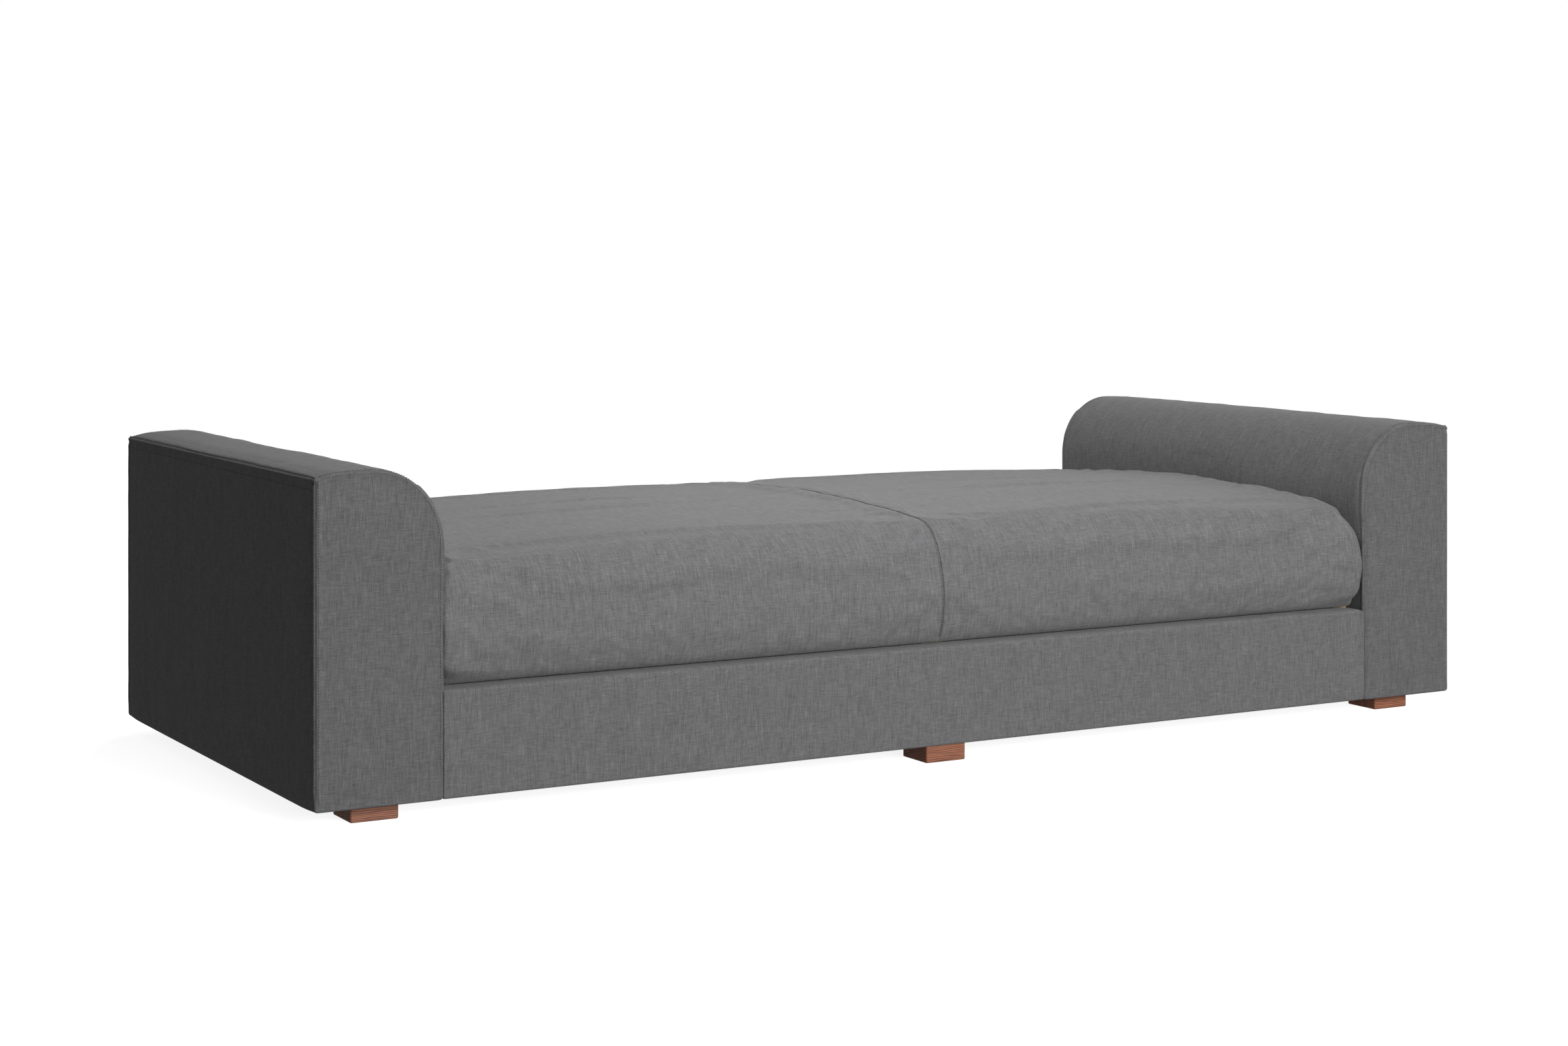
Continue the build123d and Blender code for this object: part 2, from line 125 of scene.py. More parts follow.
# ------------ outlines
def line_points(p, q, count, dense=0.0):
    """Points from p up to but without q; dense gathers them towards both ends."""
    t = np.arange(count) / count
    t = t - dense * np.sin(2 * np.pi * t) / (2 * np.pi)
    return [(p[0] + (q[0] - p[0]) * s, p[1] + (q[1] - p[1]) * s) for s in t]


def arc_points(centre, radius, start, stop, count):
    """Points on an arc in degrees, without its last one."""
    angles = np.radians(start + (stop - start) * np.arange(count) / count)
    return [(centre[0] + radius * math.cos(a), centre[1] + radius * math.sin(a)) for a in angles]


def smooth_curve(points, per_span):
    """A Catmull-Rom curve through points, without its last one."""
    pts = np.array([points[0]] + list(points) + [points[-1]], float)
    out = []
    for i in range(1, len(pts) - 2):
        p0, p1, p2, p3 = pts[i - 1:i + 3]
        for k in range(per_span):
            t = k / per_span
            out.append(0.5 * ((2 * p1) + (p2 - p0) * t + (2 * p0 - 5 * p1 + 4 * p2 - p3) * t * t
                              + (3 * p1 - p0 - 3 * p2 + p3) * t ** 3))
    return [tuple(p) for p in out]


def outward(loop):
    """Unit normals of a closed outline, pointing out."""
    step = np.roll(loop, -1, 0) - np.roll(loop, 1, 0)
    normal = np.stack([step[:, 1], -step[:, 0]], 1)
    normal /= np.linalg.norm(normal, axis=1)[:, None]
    area = np.sum(loop[:, 0] * np.roll(loop[:, 1], -1) - loop[:, 1] * np.roll(loop[:, 0], -1))
    return normal if area > 0 else -normal


# ------------ upholstered bodies
EDGE_TURNS = (0, 20, 45, 70, 90)    # degrees round the edge where a wall meets an end face
FACE_BAND = (0.002, 0.0045, 0.0075, 0.012, 0.019)   # the end face's first rings, in from its edge


class Bolster:
    """An outline carried along an axis, with rounded ends and closed faces.

    rows: one ring of points for each station.  A vertex knows its place round the outline
    (around), its distance along the surface from the start seam (run), and its region
    (-1 the start face, 0 the wall, 1 the end face).
    """

    def __init__(self, loop, low, high, edge, spacing, core, place, face_grid=0.010, extra=()):
        self.loop = loop
        normal = outward(loop)
        edge = np.broadcast_to(np.asarray(edge, float), (len(loop),))
        widest = float(edge.max())
        step = np.linalg.norm(np.roll(loop, -1, 0) - loop, axis=1)
        around = np.concatenate([[0], np.cumsum(step)[:-1]])
        self.count = len(loop)
        arc = widest * math.pi / 2
        rings = []
        for turn in EDGE_TURNS:
            a = math.radians(90 - turn)
            rings.append((low + widest * (1 - math.sin(a)), edge * (1 - math.cos(a)), (turn - 45) / 90 * arc))
        body_low, body_high = low + widest, high - widest
        near = [0.003, 0.006, 0.010, 0.015, 0.022]
        stations = [body_low + d for d in near] + [body_high - d for d in near]
        regular = np.arange(body_low + 0.03, body_high - 0.025, spacing)
        stations += [s for s in regular if min([abs(s - e) for e in extra] + [1]) > 0.003] + list(extra)
        stations = sorted(set(round(s, 5) for s in stations if body_low + 0.001 < s < body_high - 0.001))
        keep = [stations[0]]
        for s in stations[1:]:
            if s - keep[-1] > 0.0011:
                keep.append(s)
        flat = np.zeros(self.count)
        for s in keep:
            rings.append((s, flat, arc / 2 + s - body_low))
        self.total = arc + body_high - body_low
        for turn in reversed(EDGE_TURNS):
            a = math.radians(90 - turn)
            rings.append((high - widest * (1 - math.sin(a)), edge * (1 - math.cos(a)),
                          self.total - (turn - 45) / 90 * arc))
        inner = loop - normal * edge[:, None]
        target = self.core_points(inner, core)
        reach = np.linalg.norm(target - inner, axis=1)
        faces = []
        for inset in FACE_BAND:
            share = np.minimum(inset, reach * 0.8) / np.maximum(reach, 1e-9)
            ring = inner + (target - inner) * share[:, None]
            faces.append((ring, self.depth(ring, inner)))
        rows = [(a, loop - normal * e[:, None], np.full(self.count, r), 0) for a, e, r in rings]
        start = [(low, ring, rings[0][2] - d, -1) for ring, d in reversed(faces)]
        stop = [(high, ring, rings[-1][2] + d, 1) for ring, d in faces]
        rows = start + rows + stop
        self.rows = len(rows)
        middle = self.middle(faces[-1][0], face_grid)
        gap = self.depth(middle, inner)
        ends = [(low, middle, rings[0][2] - gap, -1), (high, middle, rings[-1][2] + gap, 1)]
        self.flat = np.concatenate([ring for _, ring, _, _ in rows + ends])
        self.axis = np.concatenate([np.full(len(ring), a) for a, ring, _, _ in rows + ends])
        self.run = np.concatenate([r for _, _, r, _ in rows + ends])
        self.region = np.concatenate([np.full(len(ring), g) for _, ring, _, g in rows + ends])
        self.around = np.concatenate([np.tile(around, self.rows), np.zeros(2 * len(middle))])
        self.first_wall = len(FACE_BAND)
        self.wall = self.rows * self.count
        self.spare = len(middle)
        self.place = place
        self.co = place(self.axis, self.flat)

    def middle(self, ring, pitch):
        """A grid of points well inside the last ring of an end face."""
        low, high = ring.min(0), ring.max(0)
        across, up = np.meshgrid(np.arange(low[0], high[0], pitch), np.arange(low[1], high[1], pitch))
        points = np.stack([across.ravel(), up.ravel()], 1)
        ahead = np.roll(ring, -1, 0)
        crosses = (ring[:, 1] > points[:, None, 1]) != (ahead[:, 1] > points[:, None, 1])
        rise = np.where(ahead[:, 1] == ring[:, 1], 1e-12, ahead[:, 1] - ring[:, 1])
        meets = ring[:, 0] + (points[:, None, 1] - ring[:, 1]) / rise * (ahead[:, 0] - ring[:, 0])
        inside = (crosses & (points[:, None, 0] < meets)).sum(1) % 2 == 1
        points = points[inside]
        return points[self.depth(points, ring) > pitch * 0.55]

    def end_faces(self, row, extra):
        """Triangles between the last ring of an end face and its grid of points."""
        index = list(range(row * self.count, (row + 1) * self.count))
        index += range(extra, extra + self.spare)
        points = [Vector(self.flat[i]) for i in index]
        out = delaunay_2d_cdt(points, [], [list(range(self.count))], 1, 1e-7)
        return [tuple(index[out[3][v][0]] for v in face) for face in out[2]]

    @staticmethod
    def depth(points, loop):
        """Each point's distance from a closed outline."""
        a, b = loop, np.roll(loop, -1, 0)
        side = b - a
        share = ((points[:, None] - a) * side).sum(2) / np.maximum((side * side).sum(1), 1e-12)
        nearest = a + np.clip(share, 0, 1)[..., None] * side
        return np.linalg.norm(points[:, None] - nearest, axis=2).min(1)

    @staticmethod
    def core_points(loop, core):
        """The nearest points of a segment that the end face's rings move towards."""
        p, q = np.array(core[0], float), np.array(core[1], float)
        t = np.clip((loop - p) @ (q - p) / ((q - p) @ (q - p)), 0, 1)
        return p + t[:, None] * (q - p)

    def fill(self, reach):
        """How far inside its end face or wall each point is: 0 at the edges, 1 well inside."""
        gap = self.rows_gap()
        wall = 1 - np.exp(-(gap / reach) ** 2)
        step = np.linalg.norm(np.roll(self.loop, -1, 0) - self.loop, axis=1)
        face = self.region != 0
        apart = np.linalg.norm(self.flat[face][:, None] - self.loop, axis=2)
        heat = (step * np.exp(-(apart / reach) ** 2)).sum(1) / (reach * math.sqrt(math.pi))
        wall[face] = 1 - np.tanh(1.5 * heat) / math.tanh(1.5)
        return np.clip(wall, 0, 1)

    def rows_gap(self):
        """Each point's distance along the surface from the nearer edge of the wall."""
        return np.minimum(abs(self.run), abs(self.total - self.run))

    def sheets(self):
        """The wall's points and normals, row by row."""
        shape = (self.rows, self.count, 3)
        return self.co[:self.wall].reshape(shape), self.normals()[:self.wall].reshape(shape)

    def normals(self):
        """Outward normals of the grid of points."""
        grid = self.co[:self.wall].reshape(self.rows, self.count, 3)
        along = np.gradient(grid, axis=0)
        around = np.roll(grid, -1, 1) - np.roll(grid, 1, 1)
        normal = np.cross(around, along)
        size = np.linalg.norm(normal, axis=2, keepdims=True)
        normal = (normal / np.maximum(size, 1e-12)).reshape(-1, 3)
        normal = np.vstack([normal, np.zeros((2 * self.spare, 3))])
        middle = self.co.mean(0)
        wall = self.region == 0
        if np.sum(normal[wall] * (self.co[wall] - middle)) < 0:
            normal = -normal
        along = self.place(np.ones(1), np.zeros((1, 2))) - self.place(np.zeros(1), np.zeros((1, 2)))
        face = ~wall
        normal[face] = along * self.region[face][:, None]
        return normal

    def push(self, amount):
        """Moves each point out along its normal."""
        self.co = self.co + self.normals() * amount[:, None]

    def settle(self, hold, slack, pressure, cap, frames=20):
        """Lets the cover hang as cloth under the filling's pressure and keeps its wrinkles.

        hold: how firmly each point keeps its place, 0 to 1.  slack: the cover's spare length.
        cap: how deep a kept wrinkle may be.
        """
        count = self.count
        ring = np.arange(count)
        following = (ring + 1) % count
        quads = [np.stack([r * count + ring, r * count + following, (r + 1) * count + following,
                           (r + 1) * count + ring], 1) for r in range(self.rows - 1)]
        mesh = bpy.data.meshes.new("settling")
        mesh.from_pydata(self.co[:self.wall].tolist(), [], np.concatenate(quads).tolist())
        obj = bpy.data.objects.new("settling", mesh)
        scene = bpy.context.scene
        scene.collection.objects.link(obj)
        group = obj.vertex_groups.new(name="hold")
        level = np.round(np.clip(hold[:self.wall], 0, 1) * 25).astype(int)
        for value in range(1, 26):
            group.add(np.where(level == value)[0].tolist(), value / 25, "REPLACE")
        modifier = obj.modifiers.new("cloth", "CLOTH")
        modifier.collision_settings.use_collision = False
        cloth = modifier.settings
        cloth.quality = 4
        cloth.mass = 0.25
        cloth.tension_stiffness = 25
        cloth.compression_stiffness = 12
        cloth.shear_stiffness = 8
        cloth.bending_stiffness = 0.06
        cloth.use_pressure = True
        cloth.uniform_pressure_force = pressure
        cloth.effector_weights.gravity = 0
        cloth.vertex_group_mass = "hold"
        cloth.pin_stiffness = 1.0
        cloth.shrink_min = -slack
        for step in range(1, frames + 1):
            scene.frame_set(step)
        hung = obj.evaluated_get(bpy.context.evaluated_depsgraph_get())
        co = np.zeros(len(mesh.vertices) * 3, np.float32)
        hung.data.vertices.foreach_get("co", co)
        scene.frame_set(1)
        bpy.data.objects.remove(obj)
        bpy.data.meshes.remove(mesh)
        normal = self.normals()
        moved = ((co.reshape(-1, 3) - self.co[:self.wall]) * normal[:self.wall]).sum(1)
        moved = moved.reshape(self.rows, count)
        broad = moved.copy()
        for _ in range(12):
            broad = (broad + np.roll(broad, 1, 1) + np.roll(broad, -1, 1)) / 3
            broad = (broad + np.vstack([broad[:1], broad[:-1]]) + np.vstack([broad[1:], broad[-1:]])) / 3
        wrinkle = cap * np.tanh((moved - 0.8 * broad) / cap)
        give = 1 - np.clip(hold[:self.wall], 0, 1)
        self.co[:self.wall] += (normal[:self.wall] * (wrinkle.ravel() * give)[:, None])

    def ring(self, axis_value):
        """The index of the wall ring nearest to a place on the axis."""
        rows = self.axis[:self.wall].reshape(self.rows, self.count)[:, 0]
        wall = self.region[:self.wall].reshape(self.rows, self.count)[:, 0] == 0
        return int(np.argmin(np.where(wall, abs(rows - axis_value), 9)))

    def mesh(self, name, weave):
        """The object, with a UV map in metres that the weave follows."""
        count, rows = self.count, self.rows
        faces = []
        for r in range(rows - 1):
            for k in range(count):
                n = (k + 1) % count
                faces.append((r * count + k, r * count + n, (r + 1) * count + n, (r + 1) * count + k))
        faces += self.end_faces(0, self.wall)
        faces += self.end_faces(rows - 1, self.wall + self.spare)
        mesh = bpy.data.meshes.new(name)
        mesh.from_pydata(self.co.tolist(), [], faces)
        uv = mesh.uv_layers.new(name="weave")
        total = self.around[count - 1] + np.linalg.norm(self.loop[0] - self.loop[-1])
        verts = np.zeros(len(mesh.loops), np.int64)
        mesh.loops.foreach_get("vertex_index", verts)
        starts = np.zeros(len(mesh.polygons), np.int64)
        mesh.polygons.foreach_get("loop_start", starts)
        owner = np.repeat(np.arange(len(mesh.polygons)), [p.loop_total for p in mesh.polygons])
        low_region = np.minimum.reduceat(self.region[verts], starts)
        region = np.where(low_region < 0, low_region, np.maximum.reduceat(self.region[verts], starts))[owner]
        flat = weave(self, verts, region)
        around = self.around[verts]
        highest = np.maximum.reduceat(around, starts)
        wraps = (highest[owner] > total * 0.75) & (around < total * 0.25) & (region == 0)
        flat[wraps, 1] += total
        uv.data.foreach_set("uv", flat.astype(np.float32).ravel())
        mesh.validate()
        obj = bpy.data.objects.new(name, mesh)
        bpy.context.scene.collection.objects.link(obj)
        return tidy(obj)


def tidy(obj):
    """Merges points that met, makes the normals face out and shades smooth."""
    bpy.context.view_layer.objects.active = obj
    bm = bmesh.new()
    bm.from_mesh(obj.data)
    bmesh.ops.remove_doubles(bm, verts=bm.verts, dist=1e-5)
    loose = [v for v in bm.verts if not v.link_faces]
    bmesh.ops.delete(bm, geom=loose, context="VERTS")
    open_edges = [e for e in bm.edges if len(e.link_faces) == 1]
    if open_edges:
        bmesh.ops.holes_fill(bm, edges=open_edges, sides=0)
    bmesh.ops.recalc_face_normals(bm, faces=bm.faces)
    bm.to_mesh(obj.data)
    bm.free()
    for polygon in obj.data.polygons:
        polygon.use_smooth = True
    return obj


def subdivide(obj, material):
    """One smooth subdivision, applied, and the material put on."""
    modifier = obj.modifiers.new("smooth", "SUBSURF")
    modifier.levels = 1
    modifier.render_levels = 1
    modifier.uv_smooth = "PRESERVE_BOUNDARIES"
    depsgraph = bpy.context.evaluated_depsgraph_get()
    mesh = bpy.data.meshes.new_from_object(obj.evaluated_get(depsgraph))
    old = obj.data
    obj.modifiers.clear()
    obj.data = mesh
    bpy.data.meshes.remove(old)
    obj.data.materials.append(material)


# ------------ materials

def new_material(name):
    material = bpy.data.materials.new(name)
    material.use_nodes = True
    nodes = material.node_tree.nodes
    return material, nodes, material.node_tree.links, nodes["Principled BSDF"]


def scaled(nodes, links, source, scale, kind="POINT"):
    mapping = nodes.new("ShaderNodeMapping")
    mapping.vector_type = kind
    mapping.inputs["Scale"].default_value = scale
    links.new(source, mapping.inputs["Vector"])
    return mapping.outputs["Vector"]


def noise_node(nodes, links, vector, scale=1.0, detail=2.0, rough=0.5):
    node = nodes.new("ShaderNodeTexNoise")
    node.inputs["Scale"].default_value = scale
    node.inputs["Detail"].default_value = detail
    node.inputs["Roughness"].default_value = rough
    links.new(vector, node.inputs["Vector"])
    return node.outputs["Fac"]


def math_node(nodes, links, operation, a, b=None):
    node = nodes.new("ShaderNodeMath")
    node.operation = operation
    for socket, value in zip(node.inputs, (a, b)):
        if value is None:
            continue
        if isinstance(value, (int, float)):
            socket.default_value = value
        else:
            links.new(value, socket)
    return node.outputs[0]


def weighted(nodes, links, parts):
    """The sum of sockets, each times its weight."""
    total = None
    for socket, weight in parts:
        term = math_node(nodes, links, "MULTIPLY", socket, weight)
        total = term if total is None else math_node(nodes, links, "ADD", total, term)
    return total


def bumps(nodes, links, shader, height, strength, distance):
    bump = nodes.new("ShaderNodeBump")
    bump.inputs["Strength"].default_value = strength
    bump.inputs["Distance"].default_value = distance
    links.new(height, bump.inputs["Height"])
    links.new(bump.outputs["Normal"], shader.inputs["Normal"])


def ramp_node(nodes, links, factor, stops):
    node = nodes.new("ShaderNodeValToRGB")
    ramp_data = node.color_ramp
    while len(ramp_data.elements) < len(stops):
        ramp_data.elements.new(0.5)
    for element, (place, color) in zip(ramp_data.elements, stops):
        element.position = place
        element.color = color
    links.new(factor, node.inputs["Fac"])
    return node.outputs["Color"]


def grey(value, tint=(1.0, 1.0, 1.02)):
    return (value * tint[0], value * tint[1], value * tint[2], 1.0)


def thread_layer(nodes, links, across, along, pitch, length, detail=2.0):
    """Yarns of one direction: each has its own run of thick and thin places."""
    index = math_node(nodes, links, "FLOOR", math_node(nodes, links, "DIVIDE", across, pitch))
    chance = nodes.new("ShaderNodeTexWhiteNoise")
    chance.noise_dimensions = "1D"
    links.new(index, chance.inputs["W"])
    shift = math_node(nodes, links, "MULTIPLY", chance.outputs["Value"], 53.0)
    run = math_node(nodes, links, "ADD", math_node(nodes, links, "DIVIDE", along, length), shift)
    place = nodes.new("ShaderNodeCombineXYZ")
    links.new(math_node(nodes, links, "MULTIPLY", index, 0.7319), place.inputs[0])
    links.new(run, place.inputs[1])
    return noise_node(nodes, links, place.outputs[0], 1.0, detail, 0.6)


WEAVE_REPEAT = 0.0018               # two yarns


def linen(name, tone):
    """Dark grey slubby linen: yarns both ways with thick and thin places, and soft mottling."""
    material, nodes, links, shader = new_material(name)
    uv = nodes.new("ShaderNodeUVMap")
    uv.uv_map = "weave"
    place = uv.outputs["UV"]
    threads = nodes.new("ShaderNodeSeparateXYZ")
    links.new(place, threads.inputs[0])
    u, v = threads.outputs[0], threads.outputs[1]
    # yarns: across, along, their pitch, the length of a slub, and their share of the tone
    layers = (
        (u, v, 0.00080, 0.024, 0.38), (v, u, 0.00085, 0.020, 0.32), (u, v, 0.00150, 0.040, 0.24),
        (v, u, 0.00160, 0.028, 0.15), (u, v, 0.00480, 0.100, 0.06))
    parts = [(noise_node(nodes, links, place, 900, 2, 0.6), 0.16)]
    for across, along, pitch, length, share in layers:
        parts.append((thread_layer(nodes, links, across, along, pitch, length), share))
    total = weighted(nodes, links, parts)
    shades = ((0.38, 0.36), (0.60, 0.78), (0.74, 1.15), (0.98, 2.0))
    color = ramp_node(nodes, links, total, [(level, grey(tone * shade)) for level, shade in shades])
    links.new(color, shader.inputs["Base Color"])
    shader.inputs["Roughness"].default_value = 0.92
    shader.inputs["Specular IOR Level"].default_value = 0.25
    shader.inputs["Sheen Weight"].default_value = 0.12
    shader.inputs["Sheen Roughness"].default_value = 0.45
    turns = 2 * math.pi / WEAVE_REPEAT
    over = math_node(nodes, links, "SINE", math_node(nodes, links, "MULTIPLY", u, turns))
    under = math_node(nodes, links, "SINE", math_node(nodes, links, "MULTIPLY", v, turns))
    crossing = math_node(nodes, links, "MULTIPLY", over, under)
    height = weighted(nodes, links, [(crossing, 0.35), (total, 2.2)])
    bumps(nodes, links, shader, height, 0.35, 0.0006)
    return material


def timber(name, dark, light, across, along, rough, axis=0):
    """Wood with its grain along one axis of the part's frame."""
    material, nodes, links, shader = new_material(name)
    coords = nodes.new("ShaderNodeTexCoord")
    scale = [across] * 3
    scale[axis] = along
    place = scaled(nodes, links, coords.outputs["Object"], tuple(scale))
    wobble = noise_node(nodes, links, place, 0.6, 3, 0.55)
    rings = nodes.new("ShaderNodeTexWave")
    rings.wave_type = "BANDS"
    rings.bands_direction = "Z"
    rings.inputs["Scale"].default_value = 0.55
    rings.inputs["Distortion"].default_value = 7.0
    rings.inputs["Detail"].default_value = 3.0
    rings.inputs["Detail Scale"].default_value = 1.4
    links.new(place, rings.inputs["Vector"])
    pores = noise_node(nodes, links, scaled(nodes, links, place, (6, 6, 6)), 1, 2, 0.6)
    mix = weighted(nodes, links, [(rings.outputs["Fac"], 0.45), (wobble, 0.5), (pores, 0.18)])
    middle = tuple((a + b) / 2 for a, b in zip(dark, light))
    color = ramp_node(nodes, links, mix, ((0.18, dark + (1,)), (0.48, middle + (1,)), (0.82, light + (1,))))
    links.new(color, shader.inputs["Base Color"])
    links.new(ramp_node(nodes, links, mix, ((0.2, grey(rough + 0.12)), (0.8, grey(rough - 0.06)))),
              shader.inputs["Roughness"])
    bumps(nodes, links, shader, mix, 0.25, 0.0004)
    return material


def metal(name, color, rough, metallic, scratch):
    """Plated or painted steel with fine handling marks."""
    material, nodes, links, shader = new_material(name)
    coords = nodes.new("ShaderNodeTexCoord")
    drawn = scaled(nodes, links, coords.outputs["Object"], (90, 90, 900))
    marks = noise_node(nodes, links, drawn, 1, 4, 0.6)
    blotch = noise_node(nodes, links, coords.outputs["Object"], 60, 3, 0.5)
    mix = weighted(nodes, links, [(marks, 0.6), (blotch, 0.4)])
    low = tuple(c * (1 - scratch) for c in color) + (1,)
    high = tuple(min(1, c * (1 + scratch)) for c in color) + (1,)
    links.new(ramp_node(nodes, links, mix, ((0.3, low), (0.7, high))), shader.inputs["Base Color"])
    links.new(ramp_node(nodes, links, mix, ((0.3, grey(rough + 0.1)), (0.7, grey(rough - 0.08)))),
              shader.inputs["Roughness"])
    shader.inputs["Metallic"].default_value = metallic
    bumps(nodes, links, shader, mix, 0.1, 0.0002)
    return material


def speckled(name, dark, light, cell, depth, rough):
    """Foam or non-woven cloth: fine open speckle."""
    material, nodes, links, shader = new_material(name)
    coords = nodes.new("ShaderNodeTexCoord")
    fine = noise_node(nodes, links, coords.outputs["Object"], cell, 3, 0.65)
    broad = noise_node(nodes, links, coords.outputs["Object"], cell / 14, 2, 0.5)
    mix = weighted(nodes, links, [(fine, 0.7), (broad, 0.3)])
    color = ramp_node(nodes, links, mix, ((0.3, dark + (1,)), (0.7, light + (1,))))
    links.new(color, shader.inputs["Base Color"])
    shader.inputs["Roughness"].default_value = rough
    bumps(nodes, links, shader, mix, 0.4, depth)
    return material


# The rail and the arms take darker copies of the pad's linen: painted shade, standing in for the dimmer light
# that falls on them.
PAD_TONE = 0.185
RAIL_SHADED_TONE = 0.17
ARM_SHADED_TONE = 0.152
LINEN_PAD = linen("linen_pad", PAD_TONE)
LINEN_RAIL_SHADED = linen("linen_rail_shaded", RAIL_SHADED_TONE)
LINEN_ARM_SHADED = linen("linen_arm", ARM_SHADED_TONE)
THREAD = speckled("sewing_thread", (0.05, 0.05, 0.052), (0.10, 0.10, 0.105), 3000, 0.0001, 0.7)
WALNUT = timber("walnut", (0.045, 0.013, 0.007), (0.47, 0.185, 0.105), 190, 14, 0.42)
SLOT_MATERIALS = {
    "walnut": WALNUT,
    "pine": timber("pine", (0.42, 0.25, 0.11), (0.75, 0.55, 0.32), 60, 4, 0.6),
    "plywood": timber("plywood", (0.40, 0.27, 0.14), (0.70, 0.53, 0.33), 45, 5, 0.65, axis=1),
    "beech": timber("beech", (0.40, 0.24, 0.12), (0.66, 0.45, 0.27), 120, 8, 0.35, axis=1),
    "black_steel": metal("black_steel", (0.030, 0.030, 0.032), 0.42, 0.3, 0.35),
    "zinc_steel": metal("zinc_steel", (0.56, 0.57, 0.58), 0.32, 1.0, 0.15),
    "foam": speckled("foam", (0.55, 0.50, 0.34), (0.80, 0.76, 0.60), 700, 0.0008, 0.95),
    "backing_cloth": speckled(
        "backing_cloth", (0.012, 0.012, 0.013), (0.045, 0.045, 0.048), 900, 0.0004, 0.9),
}


def dress_cad_nodes():
    """Every CAD node that stays gets its slot's material."""
    for entry in frame["record"]["subparts"]:
        material = SLOT_MATERIALS.get(entry["material_slot"])
        if material is None:
            continue
        node = frame["nodes"][entry["node"]]
        node.data.materials.clear()
        node.data.materials.append(material)


# ------------ stitching
def stitch_rows(name, rows, pitch=0.0046, length=0.0031, radius=0.00034):
    """Rows of short sewn stitches as one mesh.  Each row is (points, normals)."""
    sides = 5
    stations = ((-0.5, 0.35, 0.0), (-0.3, 0.95, 0.5), (0.3, 0.95, 0.5), (0.5, 0.35, 0.0))
    verts, faces = [], []
    for points, normals in rows:
        points, normals = np.array(points), np.array(normals)
        along = np.concatenate([[0], np.cumsum(np.linalg.norm(np.diff(points, axis=0), axis=1))])
        places = np.arange(pitch / 2, along[-1], pitch)
        centre = np.stack([np.interp(places, along, points[:, k]) for k in range(3)], 1)
        ahead = np.stack([np.interp(places + 0.0008, along, points[:, k]) for k in range(3)], 1)
        behind = np.stack([np.interp(places - 0.0008, along, points[:, k]) for k in range(3)], 1)
        up = np.stack([np.interp(places, along, normals[:, k]) for k in range(3)], 1)
        for c, t, n in zip(centre, ahead - behind, up):
            size = np.linalg.norm(t)
            if size < 1e-9:
                continue
            t = t / size
            side = np.cross(n, t)
            side /= max(np.linalg.norm(side), 1e-9)
            n = np.cross(t, side)
            base = len(verts)
            for shift, swell, lift in stations:
                for k in range(sides):
                    a = 2 * math.pi * k / sides
                    out = radius * swell * (math.cos(a) * side + math.sin(a) * n)
                    verts.append(tuple(c + t * shift * length + n * radius * (lift - 0.1) + out))
            for r in range(len(stations) - 1):
                for k in range(sides):
                    m = (k + 1) % sides
                    faces.append((base + r * sides + k, base + r * sides + m,
                                  base + (r + 1) * sides + m, base + (r + 1) * sides + k))
            faces.append(tuple(base + k for k in reversed(range(sides))))
            last = base + (len(stations) - 1) * sides
            faces.append(tuple(last + k for k in range(sides)))
    mesh = bpy.data.meshes.new(name)
    mesh.from_pydata(verts, [], faces)
    obj = bpy.data.objects.new(name, mesh)
    bpy.context.scene.collection.objects.link(obj)
    for polygon in mesh.polygons:
        polygon.use_smooth = True
    mesh.materials.append(THREAD)
    return obj


# ------------ arms
# points along each stretch of the arm's outline
OUTER_POINTS = 64
CORNER_POINTS = 6
CROWN_POINTS = 9                    # on each of the crown's two spans
ROLL_POINTS = 26
INNER_POINTS = 48
FOOT_POINTS = 4
BAND_OFF = 0.0050                   # the raised band beside a seam, from the seam
BAND_WIDTH = 0.0026
GROOVE_OFF = 0.0094                 # the groove beyond the band
GROOVE_WIDTH = 0.0018


def arm_swell(y, z):
    """How far the arm's inner face swells out: only ahead of the hinge arms, which pass close."""
    return ARM_BULGE * bell(z - BULGE_HEIGHT, BULGE_SPAN) * (1 - ramp(y, -0.16, -0.06))


def arm_loop():
    """The arm's section from its outer face at 0: up, over the crown and the roll, down, and back."""
    low, high = ARM_LOW.z - 0.0008, ARM_HIGH.z
    foot = 0.006
    crown = ARM_WIDTH - ROLL
    turn = SEAM_EDGE * 1.5
    points = line_points((0, low + foot), (0, ARM_EDGE - turn), OUTER_POINTS, 0.4)
    points += arc_points((turn, ARM_EDGE - turn), turn, 180, 100, CORNER_POINTS)
    top = [(turn * 0.9, ARM_EDGE - 0.0001), (crown * 0.4, high - 0.0028), (crown, high - 0.0004)]
    points += smooth_curve(top, CROWN_POINTS)
    centre = high - ROLL_DROP - 0.0004
    roll = arc_points((crown, centre), ROLL, 90, 0, ROLL_POINTS)
    points += [(w, centre + (z - centre) * ROLL_DROP / ROLL) for w, z in roll]
    points += line_points((ARM_WIDTH, centre), (ARM_WIDTH, low + foot), INNER_POINTS, 0.2)
    points += arc_points((ARM_WIDTH - foot, low + foot), foot, 0, -90, FOOT_POINTS)
    points += line_points((ARM_WIDTH - foot, low), (foot, low), 12)
    points += arc_points((foot, low + foot), foot, -90, -180, FOOT_POINTS)
    return np.array(points)


def arm_weave(side):
    def weave(bolster, verts, region):
        """Threads run up the sides and over the top; on the end faces they stand upright."""
        place = np.stack([bolster.co[verts, 1] + 3.1 * side, bolster.around[verts] + 0.37], 1)
        face = region != 0
        place[face, 0] = bolster.flat[verts, 0][face] + 5.3 + region[face] + side
        place[face, 1] = bolster.flat[verts, 1][face] + 2.2 * side
        return place
    return weave


